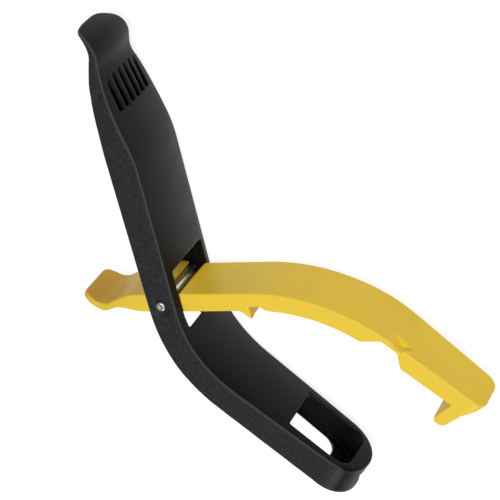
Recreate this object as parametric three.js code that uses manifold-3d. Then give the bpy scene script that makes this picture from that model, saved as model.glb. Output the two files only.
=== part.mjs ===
// A pair of moulded tyre levers that cross on a steel pin and work as pliers.
// Millimetres, +Z up. The pair lies on its side: the pin stands upright and the
// outer lever's flat side face is at the bottom. While the shapes are made, the
// pin's axis is the origin and z = 0 is the middle of both levers' widths; the
// last lines move everything so that the origin is under the middle of the pair.
//
// Side view means x and y, looking down the pin. Both levers' top faces look
// towards -y. Plan means x and z, looking at those top faces.
import * as THREE from 'three';
import { mergeVertices } from 'three/addons/utils/BufferGeometryUtils.js';
import { ConvexGeometry } from 'three/addons/geometries/ConvexGeometry.js';
import Module from 'manifold-3d';

// ---- Driving dimensions -------------------------------------------------

const arcStep = 5; // degrees between the points of an arc
const clear = 1; // how far a cut runs past the face it opens
const farSide = 60; // beyond either lever, whichever way a cut runs

// Pin
const pinRadius = 1.5;
const pinSink = 0.1; // each end stops this far short of the widest side face
const pinChamfer = 0.35;
const pinHoleGap = 0.05;
const pinSlotGap = 0.08;
const roundSides = 32;
const shortest = 0.004; // edges shorter than this are merged away

// Outer lever, side view. A route is a start, a heading in degrees and moves:
// straight ahead, or a turn on a radius (positive to the left).
const outerTopRoute = {
  start: [-78.7, 7.5],
  heading: 0,
  moves: [
    { ahead: 45.98 },
    { turn: -43.9, radius: 40 },
    { ahead: 42.88 },
    { turn: 13.4, radius: 40 },
    { ahead: 19.55 },
    { turn: -25, radius: 8 },
    { ahead: 1.6 },
    { turn: 75, radius: 7 },
    { ahead: 3.4 },
  ],
};
const outerRimRoute = {
  start: [-78.7, 18.33],
  heading: -1.5,
  moves: [
    { ahead: 47.6 },
    { turn: -41.6, radius: 50 },
    { ahead: 56 },
    { turn: 1.9, radius: 60 },
    { ahead: 9.1 },
    { turn: -20.6, radius: 12 },
    { ahead: 6.4 },
    { turn: 81, radius: 4.5 },
    { ahead: 3.2 },
  ],
};
const outerCrownRadius = 60;
const outerPlate = 2.6;
const outerWall = 3.0;
const outerEndWall = 2.4;
const hollowTip = 40; // where the hollow under the upper arm ends

// Outer lever, plan
const outerHalfWidth = 13.5;
const outerEnd = { x: -65.8, radius: 10.9 };
const endLean = { from: 9.5, to: 20, reach: 1.6 }; // the end wall leans out towards its free edge
const outerBody = { from: -14, to: 38 }; // the full-width stretch
const outerSpoonEdge = [
  [38, 13.5], [44, 12.9], [48.5, 11.9], [51, 10.9], [53.2, 10.6], [55.5, 10.9],
  [57.5, 10.8], [59.3, 10.3], [61, 9.4], [62.4, 8.2], [63.6, 6.8], [64.4, 5.2], [64.8, 3],
];

// Openings and details of the outer lever
const crossWindow = { from: -10.2, to: 3.6, halfWidth: 10.05, corner: 0.8 };
const endWindow = { from: -71.8, to: -50.4, halfWidth: 8.4, endCorner: 4.5, corner: 0.6 };
const endFloor = { opening: -66.6, thickness: 2, halfWidth: 8.3, corner: 4.5 };
const endRecess = { halfWidth: 2.6, depth: 1.5, from: 11.7, to: 16.4 };
const grooves = {
  count: 6,
  pitch: 3.3,
  from: 137.9, // distances along the top route
  to: 148.1,
  deepEnd: { width: 2.3, depth: 4.2 },
  shallowEnd: { width: 1.2, depth: 0.5 },
};
const pinDish = { radius: 3.5, floorRadius: 2.1, depth: 1.1 };
const stiffener = { thickness: 1.6, drop: 2 };
const lowerRibs = { from: 34, to: 58, count: 3 }; // distances along the top route
const upperRibs = { from: 96, to: 126, count: 3 };

// Inner lever, side view
const innerTopRoute = {
  start: [-89, -38.2],
  heading: 0,
  moves: [
    { ahead: 29.5 },
    { turn: 45.8, radius: 60 },
    { ahead: 36.65 },
    { turn: 21, radius: 6 },
    { ahead: 6.8 },
    { turn: -59, radius: 5.2 },
    { ahead: 4.3 },
  ],
};
const innerSpoonBack = [
  [20.9, 19.5], [16.4, 19.4], [13.4, 18.4], [11.7, 16.6],
  [10.2, 13.6], [8.1, 11.7], [5, 9.8], [1.7, 6.9],
];
const innerRim = { heading: 225.8, ahead: 33.56, turn: -45.8, radius: 50 };
const hook = [
  [-81.1, -32.6], [-79.8, -25.7], [-80.6, -24.5], [-82.6, -24.4],
  [-83.9, -25.6], [-85.4, -31.6], [-87.3, -34.6],
];
const innerPlate = 2.1;
const innerWall = 2.1;
const tooth = { at: 29.1, rise: 3.1, height: 2.7, relief: 1.3, reliefLength: 3.6, reliefRun: 0.7, rib: 4.2 };
const tab = [[1.8, 2], [1.8, -2.2], [4.4, -0.1], [5.8, 3.4]];
const pinSlotMouth = { halfWidth: 2.05, y: -6 };
const innerHollow = { from: -78, to: -7.5 };
const spokeNotch = [[-49.7, -31.5], [-54.4, -36.1], [-59.9, -36.1], [-64.5, -31.5]];
const spokeScoop = {
  inner: 4.8, // nearest it comes to the middle of the width
  ridge: [-56.2, -63.6],
  edge: [-55.6, -59.6],
  crease: -59.9,
  creaseInner: 6.2,
  depth: 1.2,
};

// Inner lever, plan
const innerHalfWidth = 9.7;
const innerTaperStart = -50;
const innerEnd = { x: -89, halfWidth: 7.6, corner: 4.2 };
const innerSpoonEdge = [[9, 9.7], [12, 9.3], [14.5, 8.7], [17, 8.5], [19, 7.9], [20.4, 6.8], [20.9, 5.2]];

const blackPlastic = new THREE.MeshStandardMaterial({ color: 0x2a2a2e, roughness: 0.55, metalness: 0 });
const yellowPlastic = new THREE.MeshStandardMaterial({ color: 0xe2bf35, roughness: 0.5, metalness: 0 });
const steel = new THREE.MeshStandardMaterial({ color: 0xc8c8cc, roughness: 0.3, metalness: 1 });

// ---- Outlines -----------------------------------------------------------

const radians = THREE.MathUtils.degToRad;
const vector = ([x, y]) => new THREE.Vector2(x, y);
const heading = (degrees) => new THREE.Vector2(Math.cos(radians(degrees)), Math.sin(radians(degrees)));
const leftOf = (direction) => new THREE.Vector2(-direction.y, direction.x);

// The points of an arc that starts at a point with a heading, without its start.
function turnFrom(point, degrees, turn, radius) {
  const centre = leftOf(heading(degrees)).multiplyScalar(Math.sign(turn) * radius).add(point);
  const count = Math.ceil(Math.abs(turn) / arcStep);
  const points = [];
  for (let i = 1; i <= count; i += 1) {
    points.push(point.clone().rotateAround(centre, radians(turn * i / count)));
  }
  return points;
}

function followRoute(route) {
  const points = [vector(route.start)];
  let degrees = route.heading;
  for (const move of route.moves) {
    const here = points[points.length - 1];
    if (move.ahead) {
      points.push(heading(degrees).multiplyScalar(move.ahead).add(here));
    } else {
      points.push(...turnFrom(here, degrees, move.turn, move.radius));
      degrees += move.turn;
    }
  }
  return points;
}

// A line moved sideways; positive is to the left of its travel.
function offsetLine(points, distance) {
  return points.map((point, i) => {
    const before = points[Math.max(i - 1, 0)];
    const after = points[Math.min(i + 1, points.length - 1)];
    const along = after.clone().sub(before).normalize();
    return leftOf(along).multiplyScalar(distance).add(point);
  });
}

function lengthened(points, extra) {
  const last = points.length - 1;
  const head = points[0].clone().sub(points[1]).setLength(extra).add(points[0]);
  const tail = points[last].clone().sub(points[last - 1]).setLength(extra).add(points[last]);
  return [head, ...points, tail];
}

function pointAlong(points, distance) {
  let left = distance;
  for (let i = 1; i < points.length; i += 1) {
    const step = points[i].clone().sub(points[i - 1]);
    if (left <= step.length()) {
      return { point: step.clone().setLength(left).add(points[i - 1]), along: step.normalize() };
    }
    left -= step.length();
  }
  throw new Error('the line is shorter than that');
}

// Both halves of a plan outline from the points of its +z half.
function bothHalves(half) {
  const other = half.map((point) => new THREE.Vector2(point.x, -point.y)).reverse();
  return [...half, ...other];
}

function roundedRectangle(x0, x1, halfWidth, corner0, corner1) {
  const shape = new THREE.Shape();
  const quarter = Math.PI / 2;
  shape.moveTo(x0 + corner0, -halfWidth);
  shape.absarc(x1 - corner1, corner1 - halfWidth, corner1, -quarter, 0);
  shape.absarc(x1 - corner1, halfWidth - corner1, corner1, 0, quarter);
  shape.absarc(x0 + corner0, halfWidth - corner0, corner0, quarter, 2 * quarter);
  shape.absarc(x0 + corner0, corner0 - halfWidth, corner0, 2 * quarter, 3 * quarter);
  return shape.getPoints(5);
}

// ---- Solids -------------------------------------------------------------

const wasm = await Module();
wasm.setup();

function solidOf(geometry) {
  geometry.deleteAttribute('normal');
  geometry.deleteAttribute('uv');
  const merged = mergeVertices(geometry, 1e-4);
  return new wasm.Manifold(new wasm.Mesh({
    numProp: 3,
    vertProperties: Float32Array.from(merged.attributes.position.array),
    triVerts: Uint32Array.from(merged.index.array),
  }));
}

// A side-view outline made solid between two heights.
function acrossWidth(points, zLow, zHigh) {
  const settings = { depth: zHigh - zLow, bevelEnabled: false };
  const geometry = new THREE.ExtrudeGeometry(new THREE.Shape(points), settings);
  geometry.translate(0, 0, zLow);
  return solidOf(geometry);
}

// A plan outline made solid between two values of y.
function throughPlan(points, yLow, yHigh) {
  const settings = { depth: yHigh - yLow, bevelEnabled: false };
  const geometry = new THREE.ExtrudeGeometry(new THREE.Shape(points), settings);
  geometry.rotateX(Math.PI / 2);
  geometry.translate(0, yHigh, 0);
  return solidOf(geometry);
}

// What lies outside a crowned skin that follows a side-view line.
function outsideCrown(line, crownRadius, halfSpan, height) {
  const facets = 10;
  const section = new THREE.Shape();
  section.moveTo(-halfSpan, -height);
  for (let i = 0; i <= facets; i += 1) {
    const z = halfSpan * (2 * i / facets - 1);
    section.lineTo(z, crownRadius - Math.sqrt(crownRadius ** 2 - z ** 2));
  }
  section.lineTo(halfSpan, -height);
  const route = lengthened(line, height).map((point) => new THREE.Vector3(point.x, point.y, 0));
  const path = new THREE.CatmullRomCurve3(route, false, 'centripetal');
  return solidOf(new THREE.ExtrudeGeometry(section, { steps: 56, extrudePath: path, bevelEnabled: false }));
}

function uprightRound(radiusHigh, radiusLow, zLow, zHigh) {
  const geometry = new THREE.CylinderGeometry(radiusHigh, radiusLow, zHigh - zLow, roundSides);
  geometry.rotateX(Math.PI / 2);
  geometry.translate(0, 0, (zLow + zHigh) / 2);
  return solidOf(geometry);
}

function meshOf(solid, name, material) {
  const { vertProperties, triVerts } = solid.simplify(shortest).getMesh();
  const geometry = new THREE.BufferGeometry();
  geometry.setAttribute('position', new THREE.BufferAttribute(Float32Array.from(vertProperties), 3));
  geometry.setIndex(new THREE.BufferAttribute(Uint32Array.from(triVerts), 1));
  geometry.computeVertexNormals();
  const mesh = new THREE.Mesh(geometry, material);
  mesh.name = name;
  return mesh;
}

// ---- Outer lever --------------------------------------------------------

const outerTop = followRoute(outerTopRoute);
const outerBottom = followRoute(outerRimRoute);

// The +z half of the plan from the round end to the spoon's shoulder.
function outerHalfPlan(sideInset, endInset) {
  const centre = new THREE.Vector2(outerEnd.x, 0);
  const radius = outerEnd.radius - endInset;
  const end = turnFrom(new THREE.Vector2(outerEnd.x - radius, 0), 90, -90, radius);
  const halfWidth = outerHalfWidth - sideInset;
  return [centre.clone().setX(outerEnd.x - radius), ...end, new THREE.Vector2(outerBody.from, halfWidth),
    new THREE.Vector2(outerBody.to, halfWidth)];
}

// A leaning round that carries the end wall out to its free edge.
function leaningEnd() {
  const { from, to, reach } = endLean;
  const round = new THREE.CylinderGeometry(outerEnd.radius, outerEnd.radius, to - from, 2 * roundSides);
  round.translate(0, (to - from) / 2, 0);
  round.applyMatrix4(new THREE.Matrix4().makeShear(0, 0, -reach / (to - from), 0, 0, 0));
  round.translate(outerEnd.x, from, 0);
  return solidOf(round);
}

function outerSkin() {
  const spoon = new THREE.SplineCurve(outerSpoonEdge.map(vector)).getPoints(36).slice(1);
  const plan = throughPlan(bothHalves([...outerHalfPlan(0, 0), ...spoon]), -2 * farSide, farSide)
    .add(leaningEnd());
  const outline = [...offsetLine(outerTop, -clear), ...outerBottom.toReversed()];
  const side = acrossWidth(outline, -outerHalfWidth, outerHalfWidth);
  const waste = outsideCrown(outerTop, outerCrownRadius, outerHalfWidth + clear, 5);
  return side.intersect(plan).subtract(waste);
}

// Thin plates that hang from the ceiling of the hollow.
function outerRibs() {
  const ceiling = offsetLine(outerTop, outerPlate - clear);
  const foot = offsetLine(outerTop, outerPlate + stiffener.drop);
  const half = stiffener.thickness / 2;
  const spine = acrossWidth([...ceiling, ...foot.toReversed()], -half, half);
  const pieces = [];
  for (const group of [lowerRibs, upperRibs]) {
    const first = pointAlong(outerTop, group.from).point;
    const last = pointAlong(outerTop, group.to).point;
    const span = roundedRectangle(first.x, last.x, outerHalfWidth, 0.1, 0.1);
    pieces.push(spine.intersect(throughPlan(span, -2 * farSide, farSide)));
    for (let i = 0; i < group.count; i += 1) {
      const distance = group.from + (group.to - group.from) * i / (group.count - 1);
      const { point, along } = pointAlong(outerTop, distance);
      const corners = [[-half, outerPlate - clear], [half, outerPlate - clear],
        [half, outerPlate + stiffener.drop], [-half, outerPlate + stiffener.drop]];
      const outline = corners.map(([ahead, inward]) => point.clone().addScaledVector(along, ahead)
        .addScaledVector(leftOf(along), inward));
      pieces.push(acrossWidth(outline, -outerHalfWidth, outerHalfWidth));
    }
  }
  return wasm.Manifold.union(pieces);
}

// The channel under the lever, without the ribs and the floor at its end.
function outerHollow() {
  const half = [...outerHalfPlan(outerWall, outerEndWall).slice(0, -1),
    new THREE.Vector2(hollowTip, outerHalfWidth - outerWall)];
  const plan = throughPlan(bothHalves(half), -2 * farSide, farSide);
  const ceiling = offsetLine(outerTop, outerPlate);
  const outline = [...offsetLine(ceiling, -clear), new THREE.Vector2(70, 40), new THREE.Vector2(-90, 40)];
  const room = acrossWidth(outline, -outerHalfWidth, outerHalfWidth).intersect(plan)
    .subtract(outsideCrown(ceiling, outerCrownRadius, outerHalfWidth + clear, 5));
  const floorTop = outerRimRoute.start[1] - endFloor.thickness;
  const slab = throughPlan(roundedRectangle(-90, -50, outerHalfWidth, 1, 1), floorTop, farSide);
  const hole = roundedRectangle(endFloor.opening, -40, endFloor.halfWidth, endFloor.corner, 1);
  return room.subtract(slab.subtract(throughPlan(hole, 0, farSide + clear))).subtract(outerRibs());
}

function plateOpenings() {
  const window1 = roundedRectangle(
    crossWindow.from, crossWindow.to, crossWindow.halfWidth, crossWindow.corner, crossWindow.corner);
  const window2 = roundedRectangle(
    endWindow.from, endWindow.to, endWindow.halfWidth, endWindow.endCorner, endWindow.corner);
  return throughPlan(window1, -farSide, 10).add(throughPlan(window2, -farSide, 13));
}

// The row of blind grooves behind the spoon. Each gets wider and deeper away from it.
function spoonGrooves() {
  const ends = [[grooves.from, grooves.deepEnd], [grooves.to, grooves.shallowEnd]];
  const cuts = [];
  for (let i = 0; i < grooves.count; i += 1) {
    const middle = (i - (grooves.count - 1) / 2) * grooves.pitch;
    const corners = [];
    for (const [distance, { width, depth }] of ends) {
      const { point, along } = pointAlong(outerTop, distance);
      for (const inward of [-2 * clear, depth]) {
        const { x, y } = leftOf(along).multiplyScalar(inward).add(point);
        corners.push(new THREE.Vector3(x, y, middle - width / 2));
        corners.push(new THREE.Vector3(x, y, middle + width / 2));
      }
    }
    cuts.push(solidOf(new ConvexGeometry(corners)));
  }
  return wasm.Manifold.union(cuts);
}

// The shallow pocket in the round end, under the top plate.
function endPocket() {
  const x = outerEnd.x - outerEnd.radius;
  const plan = roundedRectangle(x - 5, x + endRecess.depth, endRecess.halfWidth, 0.5, 1);
  return throughPlan(plan, endRecess.from, endRecess.to);
}

function makeOuterLever() {
  const hole = uprightRound(pinRadius + pinHoleGap, pinRadius + pinHoleGap, -farSide, farSide);
  const rim = outerHalfWidth + clear;
  const slope = (pinDish.radius - pinDish.floorRadius) / pinDish.depth;
  const mouth = pinDish.radius + slope * clear;
  const dishes = [
    uprightRound(mouth, pinDish.floorRadius, outerHalfWidth - pinDish.depth, rim),
    uprightRound(pinDish.floorRadius, mouth, -rim, pinDish.depth - outerHalfWidth),
  ];
  return outerSkin().subtract(outerHollow()).subtract(plateOpenings())
    .subtract(wasm.Manifold.union([spoonGrooves(), endPocket(), hole, ...dishes]));
}

// ---- Inner lever --------------------------------------------------------

const innerTop = followRoute(innerTopRoute);

// The walls' free edge, from the spoon to the hook, with the tooth on it.
function innerFreeEdge() {
  const spoon = new THREE.SplineCurve(innerSpoonBack.map(vector)).getPoints(20);
  const start = spoon[spoon.length - 1];
  const along = heading(innerRim.heading);
  const outward = leftOf(along).negate();
  const place = (ahead, out) => start.clone().addScaledVector(along, ahead).addScaledVector(outward, out);
  const tip = tooth.at + tooth.rise;
  const jaw = [
    place(tooth.at, 0),
    place(tip, tooth.height),
    place(tip, -tooth.relief),
    place(tip + tooth.reliefLength, -tooth.relief),
    place(tip + tooth.reliefLength + tooth.reliefRun, -0.3),
  ];
  const bend = turnFrom(place(innerRim.ahead, 0), innerRim.heading, innerRim.turn, innerRim.radius);
  return [...spoon, ...jaw, ...bend.slice(1)];
}

function innerHalfPlan() {
  const { x, halfWidth, corner } = innerEnd;
  const round = turnFrom(new THREE.Vector2(x, halfWidth - corner), 90, -90, corner);
  const spoon = new THREE.SplineCurve(innerSpoonEdge.map(vector)).getPoints(16);
  return [new THREE.Vector2(x, halfWidth - corner), ...round,
    new THREE.Vector2(innerTaperStart, innerHalfWidth), ...spoon];
}

function innerSkin() {
  const outline = [...innerTop, ...innerFreeEdge(), ...hook.map(vector)];
  const side = acrossWidth(outline, -innerHalfWidth, innerHalfWidth);
  return side.intersect(throughPlan(bothHalves(innerHalfPlan()), -2 * farSide, farSide));
}

// The channel between the hook and the solid block round the pin.
function innerHollowRoom() {
  const ceiling = offsetLine(innerTop, innerPlate);
  const outline = [...ceiling, new THREE.Vector2(0, 60), new THREE.Vector2(-90, 60)];
  const half = [
    new THREE.Vector2(innerHollow.from, innerEnd.halfWidth - innerWall + 0.2),
    new THREE.Vector2(innerTaperStart, innerHalfWidth - innerWall),
    new THREE.Vector2(innerHollow.to, innerHalfWidth - innerWall),
  ];
  const room = acrossWidth(outline, -innerHalfWidth, innerHalfWidth)
    .intersect(throughPlan(bothHalves(half), -farSide, farSide));
  return room.subtract(toothRib());
}

// The cross rib that carries the tooth.
function toothRib() {
  const start = vector(innerSpoonBack[innerSpoonBack.length - 1]);
  const along = heading(innerRim.heading);
  const outward = leftOf(along).negate();
  const from = tooth.at + tooth.rise - tooth.rib;
  const outline = [[from, -8], [from + tooth.rib, -8], [from + tooth.rib, 8], [from, 8]]
    .map(([ahead, out]) => start.clone().addScaledVector(along, ahead).addScaledVector(outward, out));
  return acrossWidth(outline, -innerHalfWidth, innerHalfWidth);
}

// The open slot that the pin lies in. It faces -y, at 45 degrees to the arm.
function pinSlot() {
  const radius = pinRadius + pinSlotGap;
  const start = new THREE.Vector2(radius, 0);
  const round = turnFrom(start, 90, 180, radius);
  const { halfWidth, y } = pinSlotMouth;
  return acrossWidth([start, ...round, new THREE.Vector2(-halfWidth, y), new THREE.Vector2(halfWidth, y)],
    -farSide, farSide);
}

// The notch and scoop in the +z side, past the bend.
function spokeHook() {
  const top = innerTopRoute.start[1];
  const outside = innerHalfWidth + clear;
  const deep = top + spokeScoop.depth;
  const above = top - 0.02;
  const [nearRidge, farRidge] = spokeScoop.ridge;
  const [nearEdge, farEdge] = spokeScoop.edge;
  const scoop = new ConvexGeometry([
    new THREE.Vector3(nearRidge, above, spokeScoop.inner),
    new THREE.Vector3(farRidge, above, spokeScoop.inner),
    new THREE.Vector3(nearEdge, above, outside),
    new THREE.Vector3(farEdge, above, outside),
    new THREE.Vector3(spokeScoop.crease, deep, spokeScoop.creaseInner),
    new THREE.Vector3(spokeScoop.crease + 0.4, deep, outside),
  ]);
  const notch = acrossWidth(spokeNotch.map(vector), spokeScoop.inner, outside);
  return solidOf(scoop).add(notch);
}

function makeInnerLever() {
  const withTab = innerSkin().add(acrossWidth(tab.map(vector), -innerHalfWidth, innerHalfWidth));
  return withTab.subtract(innerHollowRoom()).subtract(pinSlot()).subtract(spokeHook());
}

// ---- Pin ----------------------------------------------------------------

function makePin() {
  const end = outerHalfWidth - pinSink;
  const profile = [[0, -end], [pinRadius - pinChamfer, -end], [pinRadius, pinChamfer - end],
    [pinRadius, end - pinChamfer], [pinRadius - pinChamfer, end], [0, end]];
  const geometry = new THREE.LatheGeometry(profile.map(vector), roundSides);
  geometry.rotateX(Math.PI / 2);
  return solidOf(geometry);
}

// ---- The pair -----------------------------------------------------------

const pair = new THREE.Group();
pair.add(meshOf(makeOuterLever(), 'outer_lever', blackPlastic));
pair.add(meshOf(makeInnerLever(), 'inner_lever', yellowPlastic));
pair.add(meshOf(makePin(), 'pivot_pin', steel));

const box = new THREE.Box3().setFromObject(pair);
const middle = box.getCenter(new THREE.Vector3());
pair.position.set(-middle.x, -middle.y, -box.min.z);

export default pair;
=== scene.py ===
# Two moulded tyre levers crossed on a steel pin, seen as in the product photograph.
# Each lever is described by distance fields in millimetres: side-view lines (x, y) and
# plan outlines (x, z) are turned into fields, joined and cut with rounded edges, and the
# zero surface is meshed. The pin's axis is the origin and z = 0 is mid-width until the
# finished mesh moves to the CAD's place for the pin.
import math
import bmesh
import bpy
import numpy as np
from mathutils import Matrix, Vector


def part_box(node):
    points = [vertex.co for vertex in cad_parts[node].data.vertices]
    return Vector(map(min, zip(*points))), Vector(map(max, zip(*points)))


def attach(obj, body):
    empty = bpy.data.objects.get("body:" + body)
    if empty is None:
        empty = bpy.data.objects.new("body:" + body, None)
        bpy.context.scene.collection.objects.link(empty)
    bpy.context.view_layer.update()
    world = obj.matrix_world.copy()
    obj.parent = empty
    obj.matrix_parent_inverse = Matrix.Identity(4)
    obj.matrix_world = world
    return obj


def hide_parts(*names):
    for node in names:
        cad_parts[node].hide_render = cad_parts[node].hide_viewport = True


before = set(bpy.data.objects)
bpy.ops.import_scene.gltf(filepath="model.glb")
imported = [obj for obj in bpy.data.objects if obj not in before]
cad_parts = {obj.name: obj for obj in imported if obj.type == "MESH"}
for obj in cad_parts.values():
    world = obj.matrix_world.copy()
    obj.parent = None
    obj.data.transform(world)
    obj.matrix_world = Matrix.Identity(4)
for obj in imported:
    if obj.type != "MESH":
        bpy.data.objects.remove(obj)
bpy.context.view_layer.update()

MM = 0.001
pin_low, pin_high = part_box("pivot_pin")
PIVOT = (pin_low + pin_high) / 2

# ---- Driving dimensions, millimetres and degrees ---------------------------

GRID_STEP = 0.3
ARC_STEP = 1.5
FAR = 90.0  # beyond either lever
MOST_FACES = 190000  # triangles kept for one piece
SETTLING = {"rounds": 3, "share": 0.8, "reach": 0.4}  # steps onto the surface, in grid cells

# Outer lever. A route is a start, a heading and moves: ahead, or a turn on a radius.
OUTER_TOP = (
    (-78.7, 7.5),
    0,
    [(45.98,), (-43.9, 40), (42.88,), (13.4, 40), (19.55,), (-25, 8), (1.6,), (75, 7), (3.4,)],
)
OUTER_RIM = (
    (-78.7, 18.33),
    -1.5,
    [(47.6,), (-41.6, 50), (56,), (1.9, 60), (9.1,), (-20.6, 12), (6.4,), (81, 4.5), (3.2,)],
)
OUTER_CROWN = 60
OUTER_PLATE = 2.6
OUTER_WALL = 3.0
OUTER_END_WALL = 2.4
OUTER_HALF_WIDTH = 13.5
OUTER_END_X = -65.8
OUTER_END_RADIUS = 10.9
OUTER_BODY = (-14, 38)
END_LEAN = (9.5, 20, 1.6)  # the end wall leans out between two heights, by this much
OUTER_SPOON = [
    (38, 13.5), (44, 12.9), (48.5, 11.9), (51, 10.9), (53.2, 10.6), (55.5, 10.9),
    (57.5, 10.8), (59.3, 10.3), (61, 9.4), (62.4, 8.2), (63.6, 6.8), (64.4, 5.2), (64.8, 3),
]
OUTER_EDGE = 0.7  # fillet between the top face and the side walls
OUTER_RIM_EDGE = 0.35
HOLLOW_TIP = 40  # where the hollow under the upper arm ends
# A window is two ends, a half width and the corner radius at each end.
CROSS_WINDOW = (-10.2, 3.6, 10.05, 0.8, 0.8)
CROSS_WINDOW_FOOT = 10  # how far down the window's cut goes
END_WINDOW = (-71.8, -50.4, 8.4, 4.5, 0.6)
END_WINDOW_FOOT = 13
END_FLOOR_THICKNESS = 2
END_FLOOR_STOP = -50  # the x that the floor reaches
END_FLOOR_HOLE = (-66.6, -40, 8.3, 4.5, 1)
END_RECESS = {"half_width": 2.6, "depth": 1.5, "low": 11.7, "high": 16.4}
GROOVES = {"count": 6, "pitch": 3.3, "deep_end": 137.9, "shallow_end": 148.1}
GROOVE_WIDTHS = (2.3, 1.2)  # at the deep end and at the shallow end
GROOVE_DEPTHS = (4.2, 0.5)
PIN_DISH = {"radius": 3.5, "floor": 2.1, "depth": 1.1}
RIB = {"thickness": 1.6, "drop": 2}
RIB_GROUPS = [(34, 58, 3), (96, 126, 3)]  # first and last distance along the top, count
OUTER_FILLET = {
    "ceiling": 0.8, "floor_hole": 0.5, "floor": 0.6, "rib": 0.3, "rim": 0.35, "window": 0.35,
    "groove": 0.4, "groove_foot": 0.3, "groove_mouth": 0.2, "recess": 0.3, "dish": 0.4,
}
OUTER_ROOM = ((-79.2, -57, -14.4), (66, 18.9, 14.4))  # corners of the grid

# Inner lever
INNER_TOP = (
    (-89, -38.2),
    0,
    [(29.5,), (45.8, 60), (36.65,), (21, 6), (6.8,), (-59, 5.2), (4.3,)],
)
INNER_SPOON_BACK = [
    (20.9, 19.5), (16.4, 19.4), (13.4, 18.4), (11.7, 16.6),
    (10.2, 13.6), (8.1, 11.7), (5, 9.8), (1.7, 6.9),
]
INNER_RIM = {"heading": 225.8, "ahead": 33.56, "turn": -45.8, "radius": 50}
HOOK = [
    (-81.1, -32.6), (-79.8, -25.7), (-80.6, -24.5), (-82.6, -24.4),
    (-83.9, -25.6), (-85.4, -31.6), (-87.3, -34.6),
]
INNER_PLATE = 2.1
INNER_WALL = 2.1
TOOTH = {
    "at": 29.1, "rise": 3.1, "height": 2.7, "relief": 1.3, "length": 3.6, "run": 0.7, "rib": 4.2,
}
TAB = [(1.8, 2), (1.8, -2.2), (4.4, -0.1), (5.8, 3.4)]
SLOT_MOUTH = (2.05, -6)
INNER_HOLLOW = (-78, -7.5)
SPOKE_NOTCH = [(-49.7, -31.5), (-54.4, -36.1), (-59.9, -36.1), (-64.5, -31.5)]
SPOKE_INNER = 4.8
SCOOP_RIDGE = (-56.2, -63.6)
SCOOP_EDGE = (-55.6, -59.6)
SCOOP_CREASE = (-59.9, 6.2)
SCOOP_DEPTH = 1.2
INNER_HALF_WIDTH = 9.7
INNER_TAPER = -50
INNER_END = (-89, 7.6, 4.2)
INNER_SPOON = [(9, 9.7), (12, 9.3), (14.5, 8.7), (17, 8.5), (19, 7.9), (20.4, 6.8), (20.9, 5.2)]
INNER_EDGE = 0.4
INNER_RIM_EDGE = 0.3
INNER_FILLET = {
    "ceiling": 0.6, "rib": 0.3, "rim": 0.3, "tab": 0.5, "tab_foot": 0.2, "slot": 0.3, "scoop": 0.2,
    "notch": 0.3,
}
INNER_ROOM = ((-89.8, -40, -10.4), (22, 20.6, 10.4))
INNER_GRID_SHARE = 0.9  # the inner lever's grid is a little finer

# Pin
PIN_RADIUS = 1.5
PIN_SINK = 0.1
PIN_HOLE_GAP = 0.05
PIN_SLOT_GAP = 0.08
PIN_SIDES = 64
# Radius and drop below the end, from the middle of the end to its rim
PIN_END = [(0, 0.12), (0.35, 0.1), (0.6, 0), (1.1, 0.02), (1.3, 0.12), (PIN_RADIUS, 0.4)]

# ---- Lines and outlines ----------------------------------------------------


def turned(point, centre, degrees):
    angle = math.radians(degrees)
    dx, dy = point[0] - centre[0], point[1] - centre[1]
    cos, sin = math.cos(angle), math.sin(angle)
    return (centre[0] + dx * cos - dy * sin, centre[1] + dx * sin + dy * cos)


def arc(point, heading, turn, radius):
    """Points of an arc from a point with a heading, without the point itself."""
    side = math.radians(heading) + math.copysign(math.pi / 2, turn)
    centre = (point[0] + radius * math.cos(side), point[1] + radius * math.sin(side))
    count = max(3, math.ceil(abs(turn) / ARC_STEP))
    return [turned(point, centre, turn * i / count) for i in range(1, count + 1)]


def follow(route):
    start, heading, moves = route
    points = [start]
    for move in moves:
        here = points[-1]
        if len(move) == 1:
            angle = math.radians(heading)
            dx, dy = move[0] * math.cos(angle), move[0] * math.sin(angle)
            points.append((here[0] + dx, here[1] + dy))
        else:
            points += arc(here, heading, *move)
            heading += move[0]
    return points


def lengthened(points, extra):
    def beyond(a, b):
        dx, dy = a[0] - b[0], a[1] - b[1]
        share = extra / math.hypot(dx, dy)
        return (a[0] + dx * share, a[1] + dy * share)

    return [beyond(points[0], points[1]), *points, beyond(points[-1], points[-2])]


def spline(points, per_span=8):
    """A smooth line through the points."""
    out = []
    last = len(points) - 1
    for i in range(last):
        p = [points[max(i - 1, 0)], points[i], points[i + 1], points[min(i + 2, last)]]
        for k in range(per_span):
            t = k / per_span
            out.append(tuple(
                0.5 * (2 * p[1][c] + (p[2][c] - p[0][c]) * t
                       + (2 * p[0][c] - 5 * p[1][c] + 4 * p[2][c] - p[3][c]) * t ** 2
                       + (3 * p[1][c] - p[0][c] - 3 * p[2][c] + p[3][c]) * t ** 3)
                for c in (0, 1)))
    return [*out, points[-1]]


def along(points, distance):
    """The point and direction at a distance along a line."""
    for a, b in zip(points, points[1:]):
        step = math.dist(a, b)
        if distance <= step:
            direction = ((b[0] - a[0]) / step, (b[1] - a[1]) / step)
            return (a[0] + direction[0] * distance, a[1] + direction[1] * distance), direction
        distance -= step
    raise ValueError("the line is shorter than that")


def both_halves(half):
    return half + [(x, -z) for x, z in reversed(half)]


def rounded_rectangle(x0, x1, half_width, corner0, corner1):
    half = [(x0, 0), (x0, half_width - corner0)]
    half += arc(half[-1], 90, -90, corner0)
    half.append((x1 - corner1, half_width))
    half += arc(half[-1], 0, -90, corner1)
    return both_halves(half[1:])


# ---- Fields ----------------------------------------------------------------


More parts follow.
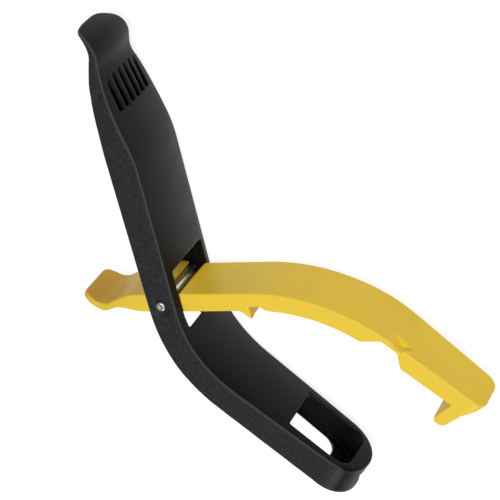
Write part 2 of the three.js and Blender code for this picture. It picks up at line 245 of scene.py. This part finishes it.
def flat_distance(outline, us, vs):
    """Signed distance of every grid point to a closed outline, negative inside."""
    u, v = np.meshgrid(us, vs, indexing="ij")
    nearest = np.full(u.shape, np.inf)
    inside = np.zeros(u.shape, bool)
    for (ax, ay), (bx, by) in zip(outline, outline[1:] + outline[:1]):
        ex, ey = bx - ax, by - ay
        length2 = ex * ex + ey * ey
        if length2 < 1e-12:
            continue
        share = np.clip(((u - ax) * ex + (v - ay) * ey) / length2, 0, 1)
        nearest = np.minimum(nearest, (u - ax - share * ex) ** 2 + (v - ay - share * ey) ** 2)
        if ay != by:
            inside ^= ((ay > v) != (by > v)) & (u < ex * (v - ay) / (by - ay) + ax)
    return (np.where(inside, -1, 1) * np.sqrt(nearest)).astype(np.float32)


def common(a, b, radius=0.0):
    """What is in both fields, its outer edge rounded to a radius."""
    if radius == 0:
        return np.maximum(a, b)
    corner = np.hypot(np.maximum(a + radius, 0), np.maximum(b + radius, 0))
    return np.minimum(np.maximum(a, b), -radius) + corner


def joined(a, b, radius=0.0):
    return -common(-a, -b, radius)


def cut(a, b, radius=0.0):
    return common(a, -b, radius)


class Grid:
    """A box of evenly spaced points, with fields from outlines."""

    def __init__(self, low, high, step):
        self.step = step
        self.low = low
        axes = [np.arange(a, b + step, step) for a, b in zip(low, high)]
        self.xs, self.ys, self.zs = axes
        self.x = axes[0][:, None, None].astype(np.float32)
        self.y = axes[1][None, :, None].astype(np.float32)
        self.z = axes[2][None, None, :].astype(np.float32)

    def side(self, outline):
        return flat_distance(outline, self.xs, self.ys)[:, :, None]

    def plan(self, outline):
        return flat_distance(outline, self.xs, self.zs)[:, None, :]

    def under(self, line, far_y=FAR):
        """Negative on the +y side of a line that runs towards +x."""
        line = lengthened(line, FAR)
        return self.side(line + [(line[-1][0], far_y), (line[0][0], far_y)])

    def between(self, axis, low, high):
        return np.maximum(low - axis, axis - high)


def crown_sag(z, radius):
    return radius - np.sqrt(radius ** 2 - z ** 2)


# ---- Meshing ---------------------------------------------------------------

CORNERS = [(i, j, k) for i in (0, 1) for j in (0, 1) for k in (0, 1)]
EDGES = [
    (a, b) for a in range(8) for b in range(a + 1, 8)
    if sum(p != q for p, q in zip(CORNERS[a], CORNERS[b])) == 1
]


def sample(field, places):
    """Field values and slopes at fractional grid places, by trilinear mixing."""
    cell = np.clip(np.floor(places).astype(int), 0, np.array(field.shape) - 2)
    part = places - cell
    value = np.zeros(len(places))
    slope = np.zeros((len(places), 3))
    for corner in CORNERS:
        here = field[cell[:, 0] + corner[0], cell[:, 1] + corner[1], cell[:, 2] + corner[2]]
        shares = [part[:, c] if corner[c] else 1 - part[:, c] for c in range(3)]
        value += here * shares[0] * shares[1] * shares[2]
        for c in range(3):
            others = shares[(c + 1) % 3] * shares[(c + 2) % 3]
            slope[:, c] += here * others * (1 if corner[c] else -1)
    return value, slope


def surface(field):
    """Quads on a field's zero surface, one vertex in each cell that it crosses."""
    inside = field < 0
    shape = tuple(n - 1 for n in field.shape)
    count = np.zeros(shape, np.uint8)
    for i, j, k in CORNERS:
        count += inside[i:i + shape[0], j:j + shape[1], k:k + shape[2]]
    cells = np.argwhere((count > 0) & (count < 8))
    number = np.full(shape, -1, np.int64)
    number[tuple(cells.T)] = np.arange(len(cells))
    values = np.stack([field[tuple((cells + corner).T)] for corner in CORNERS], 1)
    total = np.zeros((len(cells), 3))
    crossings = np.zeros(len(cells))
    for a, b in EDGES:
        va, vb = values[:, a], values[:, b]
        crossed = (va < 0) != (vb < 0)
        share = np.where(crossed, va / np.where(crossed, va - vb, 1), 0)[:, None]
        corner_a, corner_b = np.array(CORNERS[a]), np.array(CORNERS[b])
        total += np.where(crossed[:, None], corner_a + (corner_b - corner_a) * share, 0)
        crossings += crossed
    places = cells + total / crossings[:, None]
    quads = []
    for axis in range(3):
        u, v = (axis + 1) % 3, (axis + 2) % 3
        first = np.take(inside, range(inside.shape[axis] - 1), axis)
        second = np.take(inside, range(1, inside.shape[axis]), axis)
        for starts in (True, False):
            edge = np.argwhere((first == starts) & (second != starts))
            edge = edge[(edge[:, u] > 0) & (edge[:, v] > 0)]
            edge = edge[(edge[:, u] < shape[u]) & (edge[:, v] < shape[v])]
            ring = []
            for du, dv in ((-1, -1), (0, -1), (0, 0), (-1, 0)):
                near = edge.copy()
                near[:, u] += du
                near[:, v] += dv
                ring.append(number[tuple(near.T)])
            quad = np.stack(ring, 1)
            quads.append(quad if starts else quad[:, ::-1])
    return places, np.concatenate(quads)


def piece_from_field(name, field, grid):
    """A smooth-shaded mesh object of a field, in place and in metres."""
    places, quads = surface(field)
    for _ in range(SETTLING["rounds"]):
        value, slope = sample(field, places)
        size2 = np.maximum((slope ** 2).sum(1), 1e-6)
        move = -SETTLING["share"] * (value / size2)[:, None] * slope
        places = places + np.clip(move, -SETTLING["reach"], SETTLING["reach"])
    points = (np.array(grid.low) + places * grid.step) * MM + np.array(PIVOT)
    mesh = bpy.data.meshes.new(name)
    mesh.from_pydata(points.tolist(), [], quads.tolist())
    piece = bpy.data.objects.new(name, mesh)
    bpy.context.collection.objects.link(piece)
    thin = piece.modifiers.new("thin", "DECIMATE")
    thin.ratio = min(1.0, MOST_FACES / (2 * len(quads)))
    apply_modifiers(piece)
    piece.data.shade_smooth()
    return piece


def apply_modifiers(piece):
    graph = bpy.context.evaluated_depsgraph_get()
    mesh = bpy.data.meshes.new_from_object(piece.evaluated_get(graph))
    piece.modifiers.clear()
    piece.data = mesh


# ---- Outer lever -----------------------------------------------------------


def outer_half_plan(side_inset, end_inset):
    """The +z half of the plan from the round end to the spoon's shoulder."""
    radius = OUTER_END_RADIUS - end_inset
    start = (OUTER_END_X - radius, 0)
    half_width = OUTER_HALF_WIDTH - side_inset
    half = [start] + arc(start, 90, -90, radius)
    return half + [(OUTER_BODY[0], half_width), (OUTER_BODY[1], half_width)]


def leaning_end(grid):
    """A leaning round that carries the end wall out to its free edge."""
    low, high, reach = END_LEAN
    centre = OUTER_END_X - reach * (grid.y - low) / (high - low)
    round_end = np.hypot(grid.x - centre, grid.z) - OUTER_END_RADIUS
    return np.maximum(round_end, low - grid.y)


def outer_ribs(grid, top, top_line):
    """Thin plates that hang from the ceiling of the hollow."""
    half = RIB["thickness"] / 2
    depth = np.maximum(-(OUTER_PLATE + RIB["drop"]) - top, top)
    ribs = None
    for first, last, count in RIB_GROUPS:
        x0, x1 = along(top_line, first)[0][0], along(top_line, last)[0][0]
        spine = np.maximum(grid.between(grid.z, -half, half), grid.between(grid.x, x0, x1))
        group = np.maximum(spine, depth)
        for i in range(count):
            point, way = along(top_line, first + (last - first) * i / (count - 1))
            across = (grid.x - point[0]) * way[0] + (grid.y - point[1]) * way[1]
            group = np.minimum(group, np.maximum(np.abs(across) - half, depth))
        ribs = group if ribs is None else np.minimum(ribs, group)
    return ribs


def outer_hollow(grid, top, top_line):
    """The channel under the lever, less its ribs and the floor at the round end."""
    half = outer_half_plan(OUTER_WALL, OUTER_END_WALL)[:-1]
    half.append((HOLLOW_TIP, OUTER_HALF_WIDTH - OUTER_WALL))
    ceiling = top + crown_sag(grid.z, OUTER_CROWN) + OUTER_PLATE
    room = common(ceiling, grid.plan(both_halves(half)), OUTER_FILLET["ceiling"])
    floor_top = OUTER_RIM[0][1] - END_FLOOR_THICKNESS
    slab = np.maximum(floor_top - grid.y, grid.x - END_FLOOR_STOP)
    floor = cut(slab, grid.plan(rounded_rectangle(*END_FLOOR_HOLE)), OUTER_FILLET["floor_hole"])
    room = cut(room, floor, OUTER_FILLET["floor"])
    return cut(room, outer_ribs(grid, top, top_line), OUTER_FILLET["rib"])


def spoon_grooves(grid, top, top_line):
    """Blind grooves that get wider and deeper away from the spoon."""
    (x0, y0), way = along(top_line, GROOVES["deep_end"])
    length = GROOVES["shallow_end"] - GROOVES["deep_end"]
    ahead = (grid.x - x0) * way[0] + (grid.y - y0) * way[1]
    share = np.clip(ahead / length, 0, 1)
    half_width = (GROOVE_WIDTHS[0] + (GROOVE_WIDTHS[1] - GROOVE_WIDTHS[0]) * share) / 2
    depth = GROOVE_DEPTHS[0] + (GROOVE_DEPTHS[1] - GROOVE_DEPTHS[0]) * share
    room = common(grid.between(ahead, 0, length), -depth - top, OUTER_FILLET["groove_foot"])
    cuts = None
    for i in range(GROOVES["count"]):
        middle = (i - (GROOVES["count"] - 1) / 2) * GROOVES["pitch"]
        groove = common(room, np.abs(grid.z - middle) - half_width, OUTER_FILLET["groove"])
        cuts = groove if cuts is None else np.minimum(cuts, groove)
    return cuts


def plate_windows(grid):
    cross = np.maximum(grid.plan(rounded_rectangle(*CROSS_WINDOW)), grid.y - CROSS_WINDOW_FOOT)
    end = np.maximum(grid.plan(rounded_rectangle(*END_WINDOW)), grid.y - END_WINDOW_FOOT)
    return np.minimum(cross, end)


def end_recess(grid):
    """The shallow recess in the round end's wall."""
    x = OUTER_END_X - OUTER_END_RADIUS
    outside = x - 5
    plan = rounded_rectangle(outside, x + END_RECESS["depth"], END_RECESS["half_width"], 0.5, 1)
    heights = grid.between(grid.y, END_RECESS["low"], END_RECESS["high"])
    return common(grid.plan(plan), heights, OUTER_FILLET["recess"])


def pin_cuts(grid):
    """The pin's hole and the dished recess round each end of it."""
    reach = np.hypot(grid.x, grid.y)
    hole = reach - PIN_RADIUS - PIN_HOLE_GAP
    floor = OUTER_HALF_WIDTH - PIN_DISH["depth"]
    slope = (PIN_DISH["radius"] - PIN_DISH["floor"]) / PIN_DISH["depth"]
    height = np.abs(grid.z) - floor
    wall = (reach - PIN_DISH["floor"] - slope * height) / math.hypot(1, slope)
    return hole, common(wall, -height, OUTER_FILLET["dish"])


def make_outer_lever():
    grid = Grid(*OUTER_ROOM, GRID_STEP)
    top_line = follow(OUTER_TOP)
    top = grid.under(top_line)
    rim = -grid.under(follow(OUTER_RIM))
    plan = grid.plan(both_halves(outer_half_plan(0, 0) + spline(OUTER_SPOON)[1:]))
    plan = np.minimum(plan, leaning_end(grid))
    body = common(top + crown_sag(grid.z, OUTER_CROWN), plan, OUTER_EDGE)
    body = common(body, rim, OUTER_RIM_EDGE)
    body = cut(body, outer_hollow(grid, top, top_line), OUTER_FILLET["rim"])
    body = cut(body, plate_windows(grid), OUTER_FILLET["window"])
    body = cut(body, spoon_grooves(grid, top, top_line), OUTER_FILLET["groove_mouth"])
    body = cut(body, end_recess(grid), OUTER_FILLET["recess"])
    hole, dish = pin_cuts(grid)
    body = cut(body, dish, OUTER_FILLET["dish"])
    body = cut(body, hole)
    return piece_from_field("wide_lever", body, grid)


# ---- Inner lever -----------------------------------------------------------


def inner_free_edge():
    """The walls' free edge from the spoon to the bend with the tooth on it, and the
    function that places a point ahead along its straight stretch and out from it."""
    back = spline(INNER_SPOON_BACK)
    start = back[-1]
    angle = math.radians(INNER_RIM["heading"])
    way = (math.cos(angle), math.sin(angle))

    def place(ahead, out):
        return (start[0] + way[0] * ahead + way[1] * out, start[1] + way[1] * ahead - way[0] * out)

    tip = TOOTH["at"] + TOOTH["rise"]
    heel = tip + TOOTH["length"]
    jaw = [
        place(TOOTH["at"], 0),
        place(tip, TOOTH["height"]),
        place(tip, -TOOTH["relief"]),
        place(heel, -TOOTH["relief"]),
        place(heel + TOOTH["run"], -0.3),
    ]
    bend_start = place(INNER_RIM["ahead"], 0)
    bend = arc(bend_start, INNER_RIM["heading"], INNER_RIM["turn"], INNER_RIM["radius"])
    past_jaw = 3  # the bend's points before this run beside the jaw or just past it
    return back + jaw + bend[past_jaw:], place


def inner_half_plan():
    x, half_width, corner = INNER_END
    start = (x, half_width - corner)
    end = [start] + arc(start, 90, -90, corner)
    return end + [(INNER_TAPER, INNER_HALF_WIDTH)] + spline(INNER_SPOON)


def inner_hollow(grid, top, place):
    half = [
        (INNER_HOLLOW[0], INNER_END[1] - INNER_WALL + 0.2),
        (INNER_TAPER, INNER_HALF_WIDTH - INNER_WALL),
        (INNER_HOLLOW[1], INNER_HALF_WIDTH - INNER_WALL),
    ]
    room = common(top + INNER_PLATE, grid.plan(both_halves(half)), INNER_FILLET["ceiling"])
    low = TOOTH["at"] + TOOTH["rise"] - TOOTH["rib"]
    high = low + TOOTH["rib"]
    reach = 8  # past both faces of the lever
    corners = ((low, -reach), (high, -reach), (high, reach), (low, reach))
    rib = grid.side([place(*corner) for corner in corners])
    return cut(room, rib, INNER_FILLET["rib"])


def wedge(grid, points, faces):
    """The solid inside planes, each through three of the points."""
    middle = np.mean(points, 0)
    out = None
    for names in faces:
        a, b, c = (np.array(points[n], float) for n in names)
        normal = np.cross(b - a, c - a)
        normal /= np.linalg.norm(normal)
        if normal @ (middle - a) > 0:
            normal = -normal
        plane = (grid.x - a[0]) * normal[0] + (grid.y - a[1]) * normal[1]
        plane = plane + (grid.z - a[2]) * normal[2]
        out = plane if out is None else np.maximum(out, plane)
    return out


def spoke_hook(grid):
    """The scoop in the top face and the notch under it, in the +z side."""
    top = INNER_TOP[0][1]
    deep = top + SCOOP_DEPTH
    outside = INNER_HALF_WIDTH + 1
    points = [
        (SCOOP_RIDGE[0], top, SPOKE_INNER),
        (SCOOP_RIDGE[1], top, SPOKE_INNER),
        (SCOOP_EDGE[0], top, outside),
        (SCOOP_EDGE[1], top, outside),
        (SCOOP_CREASE[0], deep, SCOOP_CREASE[1]),
        (SCOOP_CREASE[0] + 0.4, deep, outside),
    ]
    scoop = wedge(grid, points, [(0, 2, 4), (1, 3, 5), (1, 5, 4), (0, 1, 4)])
    notch = common(grid.side(SPOKE_NOTCH), SPOKE_INNER - grid.z, INNER_FILLET["notch"])
    return scoop, notch


def pin_slot():
    """The open slot that the pin lies in, seen from the side."""
    radius = PIN_RADIUS + PIN_SLOT_GAP
    half_width, y = SLOT_MOUTH
    return [(radius, 0)] + arc((radius, 0), 90, 180, radius) + [(-half_width, y), (half_width, y)]


def make_inner_lever():
    grid = Grid(*INNER_ROOM, GRID_STEP * INNER_GRID_SHARE)
    top = grid.under(follow(INNER_TOP))
    edge, place = inner_free_edge()
    end = INNER_TOP[0]
    lower = grid.side([(end[0], -FAR), (edge[0][0], -FAR)] + edge + HOOK + [end])
    plan = grid.plan(both_halves(inner_half_plan()))
    body = common(common(top, plan, INNER_EDGE), lower, INNER_RIM_EDGE)
    tab = common(grid.side(TAB), np.abs(grid.z) - INNER_HALF_WIDTH, INNER_FILLET["tab"])
    body = joined(body, tab, INNER_FILLET["tab_foot"])
    body = cut(body, inner_hollow(grid, top, place), INNER_FILLET["rim"])
    body = cut(body, grid.side(pin_slot()), INNER_FILLET["slot"])
    scoop, notch = spoke_hook(grid)
    body = cut(body, scoop, INNER_FILLET["scoop"])
    body = cut(body, notch, INNER_FILLET["notch"])
    return piece_from_field("hooked_lever", body, grid)


# ---- Pin -------------------------------------------------------------------


def make_pin():
    """A turned pin, as rings of points joined from one end to the other."""
    end = OUTER_HALF_WIDTH - PIN_SINK
    half = [(r, end - drop) for r, drop in PIN_END]
    profile = half + [(r, -z) for r, z in reversed(half)]
    bm = bmesh.new()
    rings = []
    for r, z in profile:
        if r == 0:
            rings.append([bm.verts.new((0, 0, z))])
            continue
        ring = []
        for i in range(PIN_SIDES):
            angle = 2 * math.pi * i / PIN_SIDES
            ring.append(bm.verts.new((r * math.cos(angle), r * math.sin(angle), z)))
        rings.append(ring)
    for a, b in zip(rings, rings[1:]):
        for i in range(PIN_SIDES):
            j = (i + 1) % PIN_SIDES
            corners = [a[i % len(a)], a[j % len(a)], b[j % len(b)], b[i % len(b)]]
            bm.faces.new(list(dict.fromkeys(corners)))
    bmesh.ops.recalc_face_normals(bm, faces=bm.faces)
    mesh = bpy.data.meshes.new("steel_pin")
    bm.to_mesh(mesh)
    bm.free()
    mesh.transform(Matrix.Translation(PIVOT) @ Matrix.Scale(MM, 4))
    mesh.shade_smooth()
    piece = bpy.data.objects.new("steel_pin", mesh)
    bpy.context.collection.objects.link(piece)
    return piece


# ---- Materials -------------------------------------------------------------

# What lies further out than this from mid-width is the outside of the outer lever.
WALL_MIDDLE = (9.7, 12)  # at the round end and at the body
SPOON_WALL = (44, 54, 5)  # it comes nearer mid-width from the first x to the second, by the third
DISH_REACH = (3.7, 4.1)  # from the pin's end: the painted edge highlight fades in between these distances
BLACK_DEEP, BLACK_LIT = (0.0025, 0.0025, 0.0025, 1), (0.0045, 0.0045, 0.0045, 1)
GRAIN_DEEP, GRAIN_LIT = (0.014, 0.014, 0.0155, 1), (0.026, 0.026, 0.029, 1)
# Painted highlight colour for the fillets of the outer edges.
BLACK_EDGE_HIGHLIGHT = (0.065, 0.065, 0.07, 1)
YELLOW_DEEP, YELLOW_LIT = (0.73, 0.485, 0.016, 1), (0.77, 0.52, 0.02, 1)
# Painted shade for the spoon end, where the black lever shades it.
YELLOW_SPOON_SHADE = (0.47, 0.225, 0.01, 1)
# Painted shade for the faces that look along z.
YELLOW_SIDE_SHADE = (0.66, 0.465, 0.04, 1)
STEEL_DEEP, STEEL_LIT = (0.5, 0.5, 0.53, 1), (0.8, 0.8, 0.82, 1)


class Nodes:
    """Short calls for building one material's nodes."""

    def __init__(self, name):
        self.material = bpy.data.materials.new(name)
        self.material.use_nodes = True
        self.tree = self.material.node_tree
        self.shader = self.tree.nodes["Principled BSDF"]

    def add(self, kind, settings=None, **inputs):
        node = self.tree.nodes.new(kind)
        for key, value in (settings or {}).items():
            setattr(node, key, value)
        for key, value in inputs.items():
            self.put(node.inputs[key.replace("_", " ")], value)
        return node

    def put(self, socket, value):
        if isinstance(value, bpy.types.NodeSocket):
            self.tree.links.new(value, socket)
        else:
            socket.default_value = value

    def math(self, operation, a, b=0.0):
        node = self.tree.nodes.new("ShaderNodeMath")
        node.operation = operation
        self.put(node.inputs[0], a)
        self.put(node.inputs[1], b)
        return node.outputs[0]

    def ramp(self, value, low, high, out_low=0.0, out_high=1.0):
        node = self.add("ShaderNodeMapRange", {"interpolation_type": "SMOOTHSTEP"})
        for key, number in (("Value", value), ("From Min", low), ("From Max", high),
                            ("To Min", out_low), ("To Max", out_high)):
            self.put(node.inputs[key], number)
        return node.outputs[0]

    def noise(self, size_mm, detail=2.0, roughness=0.5):
        place = self.add("ShaderNodeTexCoord").outputs["Object"]
        node = self.add("ShaderNodeTexNoise", Vector=place, Scale=1 / (size_mm * MM), Detail=detail,
                        Roughness=roughness)
        return node.outputs["Fac"]

    def mix(self, share, a, b):
        node = self.tree.nodes.new("ShaderNodeMix")
        node.data_type = "RGBA"
        self.put(node.inputs["Factor"], share)
        self.put(node.inputs["A"], a)
        self.put(node.inputs["B"], b)
        return node.outputs["Result"]

    def bump(self, height, distance_mm, strength=1.0):
        distance = distance_mm * MM
        node = self.add("ShaderNodeBump", Height=height, Distance=distance, Strength=strength)
        self.put(self.shader.inputs["Normal"], node.outputs["Normal"])


def black_plastic():
    """Black moulded nylon: spark grain on the outer side walls, smoother elsewhere, with a
    highlight painted on the fillets of the outer edges.
    """
    n = Nodes("black_nylon")
    coordinates = n.add("ShaderNodeTexCoord").outputs
    normal = n.add("ShaderNodeSeparateXYZ", Vector=coordinates["Normal"]).outputs
    place = n.add("ShaderNodeSeparateXYZ", Vector=coordinates["Object"]).outputs
    tilt = n.math("ABSOLUTE", normal["Z"])
    reach = n.math("ABSOLUTE", n.math("SUBTRACT", place["Z"], PIVOT.z))
    at_end, at_body = (PIVOT.x + x * MM for x in (OUTER_END_X, OUTER_BODY[0]))
    middle = n.ramp(place["X"], at_end, at_body, WALL_MIDDLE[0] * MM, WALL_MIDDLE[1] * MM)
    at_neck, at_spoon = (PIVOT.x + x * MM for x in SPOON_WALL[:2])
    nearer = n.ramp(place["X"], at_neck, at_spoon, 0, SPOON_WALL[2] * MM)
    middle = n.math("SUBTRACT", middle, nearer)
    outside = n.ramp(n.math("SUBTRACT", reach, middle), -0.5 * MM, 0.5 * MM)
    sideways = n.math("MULTIPLY", n.ramp(tilt, 0.6, 0.9), outside)
    # Painted highlight: the fillets between the outer faces get a lighter grey, in place of the
    # bright line that the lamps give along the edges.
    corner = n.math("MULTIPLY", n.ramp(tilt, 0.3, 0.55), n.ramp(tilt, 0.97, 0.8))
    corner = n.math("MULTIPLY", corner, outside)
    from_pin = n.add("ShaderNodeVectorMath", {"operation": "DISTANCE"})
    n.put(from_pin.inputs[0], coordinates["Object"])
    n.put(from_pin.inputs[1], (PIVOT.x, PIVOT.y, PIVOT.z + OUTER_HALF_WIDTH * MM))
    clear_of_dish = n.ramp(from_pin.outputs["Value"], DISH_REACH[0] * MM, DISH_REACH[1] * MM)
    corner = n.math("MULTIPLY", corner, clear_of_dish)
    grain = n.noise(0.32, 3.0, 0.6)
    speck = n.noise(0.7, 2.0)
    cloud = n.noise(9.0, 3.0)
    dark = n.mix(cloud, BLACK_DEEP, BLACK_LIT)
    side = n.mix(n.ramp(speck, 0.35, 0.75), GRAIN_DEEP, GRAIN_LIT)
    colour = n.mix(sideways, dark, side)
    # Mix in the painted edge highlight.
    colour = n.mix(n.math("MULTIPLY", corner, 0.6), colour, BLACK_EDGE_HIGHLIGHT)
    n.put(n.shader.inputs["Base Color"], colour)
    n.shader.inputs["Specular IOR Level"].default_value = 0.12
    rough = n.math("ADD", n.ramp(cloud, 0.3, 0.7, 0.36, 0.44), n.math("MULTIPLY", sideways, 0.12))
    n.put(n.shader.inputs["Roughness"], rough)
    height = n.math("MULTIPLY", grain, n.ramp(sideways, 0, 1, 0.12, 1.0))
    n.bump(height, 0.12, 0.45)
    return n.material


def yellow_plastic():
    """Yellow moulded nylon with a satin face and a very fine texture, with shade painted on the
    spoon end and on the faces that look along z.
    """
    n = Nodes("yellow_nylon")
    cloud = n.noise(14.0, 3.0)
    fine = n.noise(0.4, 2.0)
    coordinates = n.add("ShaderNodeTexCoord").outputs
    along_x = n.add("ShaderNodeSeparateXYZ", Vector=coordinates["Object"]).outputs["X"]
    normal_z = n.add("ShaderNodeSeparateXYZ", Vector=coordinates["Normal"]).outputs["Z"]
    # Painted shade: the colour turns a darker orange towards the spoon end, in place of the shade
    # that the black lever casts there.
    spoon = n.ramp(along_x, PIVOT.x + 2 * MM, PIVOT.x + 16 * MM)
    sideways = n.ramp(n.math("ABSOLUTE", normal_z), 0.6, 0.9)
    colour = n.mix(n.ramp(cloud, 0.3, 0.7), YELLOW_DEEP, YELLOW_LIT)
    colour = n.mix(n.math("MULTIPLY", spoon, 0.7), colour, YELLOW_SPOON_SHADE)
    # Painted shade: faces that look along z get a duller, darker yellow than the top faces, to
    # offset how the overhead lamp falls on them.
    colour = n.mix(n.math("MULTIPLY", sideways, 0.8), colour, YELLOW_SIDE_SHADE)
    n.put(n.shader.inputs["Base Color"], colour)
    n.put(n.shader.inputs["Roughness"], n.ramp(cloud, 0.3, 0.7, 0.42, 0.5))
    n.shader.inputs["Specular IOR Level"].default_value = 0.3
    n.bump(fine, 0.03, 0.5)
    return n.material


def turned_steel():
    """Bright steel, scuffed all over by noise in its colour, roughness and bumps."""
    n = Nodes("pin_steel")
    n.shader.inputs["Metallic"].default_value = 1.0
    scuff = n.noise(0.5, 3.0, 0.6)
    fine = n.noise(0.15, 2.0)
    n.put(n.shader.inputs["Base Color"], n.mix(scuff, STEEL_DEEP, STEEL_LIT))
    n.put(n.shader.inputs["Roughness"], n.ramp(fine, 0.3, 0.7, 0.2, 0.38))
    n.bump(scuff, 0.12, 0.8)
    return n.material


# ---- Setting ---------------------------------------------------------------

CAMERA_ELEVATION = 53.1
CAMERA_ROLL = 218.2
CAMERA_FROM_PIVOT = (-10.06, -367.9, 455.2)
LENS = 144
SENSOR = 36


def add_camera():
    elevation, roll = math.radians(CAMERA_ELEVATION), math.radians(CAMERA_ROLL)
    back = Vector((0, -math.cos(elevation), math.sin(elevation)))
    level_right = Vector((1, 0, 0))
    level_up = back.cross(level_right)
    right = level_right * math.cos(roll) + level_up * math.sin(roll)
    up = back.cross(right)
    data = bpy.data.cameras.new("camera")
    data.lens = LENS
    data.sensor_width = SENSOR
    data.clip_start = 0.01
    camera = bpy.data.objects.new("camera", data)
    axes = Matrix((right, up, back)).transposed().to_4x4()
    camera.matrix_world = Matrix.Translation(PIVOT + Vector(CAMERA_FROM_PIVOT) * MM) @ axes
    bpy.context.collection.objects.link(camera)
    bpy.context.scene.camera = camera


def add_floor():
    n = Nodes("floor_white")
    place = n.add("ShaderNodeTexCoord").outputs["Object"]
    cloud = n.add("ShaderNodeTexNoise", Vector=place, Scale=8.0).outputs["Fac"]
    n.put(n.shader.inputs["Base Color"], n.mix(cloud, (0.19, 0.19, 0.19, 1), (0.21, 0.21, 0.21, 1)))
    n.shader.inputs["Roughness"].default_value = 0.9
    n.shader.inputs["Specular IOR Level"].default_value = 0.1
    n.shader.inputs["Emission Color"].default_value = (1, 1, 1, 1)
    n.shader.inputs["Emission Strength"].default_value = 0.86
    mesh = bpy.data.meshes.new("floor")
    size = 4.0
    low = -0.2 * MM  # just clear of the levers' side face
    corners = [(-size, -size, low), (size, -size, low), (size, size, low), (-size, size, low)]
    mesh.from_pydata(corners, [], [(0, 1, 2, 3)])
    floor = bpy.data.objects.new("floor", mesh)
    floor.data.materials.append(n.material)
    bpy.context.collection.objects.link(floor)


def add_area(name, place, size, power):
    """A square white light that faces the middle of the floor."""
    data = bpy.data.lights.new(name, "AREA")
    data.shape = "SQUARE"
    data.size = size
    data.energy = power
    light = bpy.data.objects.new(name, data)
    light.location = place
    light.rotation_euler = (-Vector(place)).to_track_quat("-Z", "Y").to_euler()
    bpy.context.collection.objects.link(light)


def add_lights():
    world = bpy.data.worlds.new("studio")
    world.use_nodes = True
    background = world.node_tree.nodes["Background"]
    background.inputs["Color"].default_value = (1, 1, 1, 1)
    background.inputs["Strength"].default_value = 0.25
    bpy.context.scene.world = world
    add_area("overhead", (0.0, -0.25, 1.0), 0.45, 9.6)
    add_area("side", (-0.8, 0.7, 0.6), 0.4, 4.0)
    bpy.context.scene.view_settings.view_transform = "Standard"


# ---- The pair --------------------------------------------------------------

add_camera()
add_floor()
add_lights()

for piece, node, body, slot, material in (
    (make_outer_lever(), "outer_lever", "outer", "outer_plastic", black_plastic()),
    (make_inner_lever(), "inner_lever", "inner", "inner_plastic", yellow_plastic()),
    (make_pin(), "pivot_pin", "outer", "pin_steel", turned_steel()),
):
    piece.data.materials.append(material)
    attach(piece, body)
    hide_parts(node)
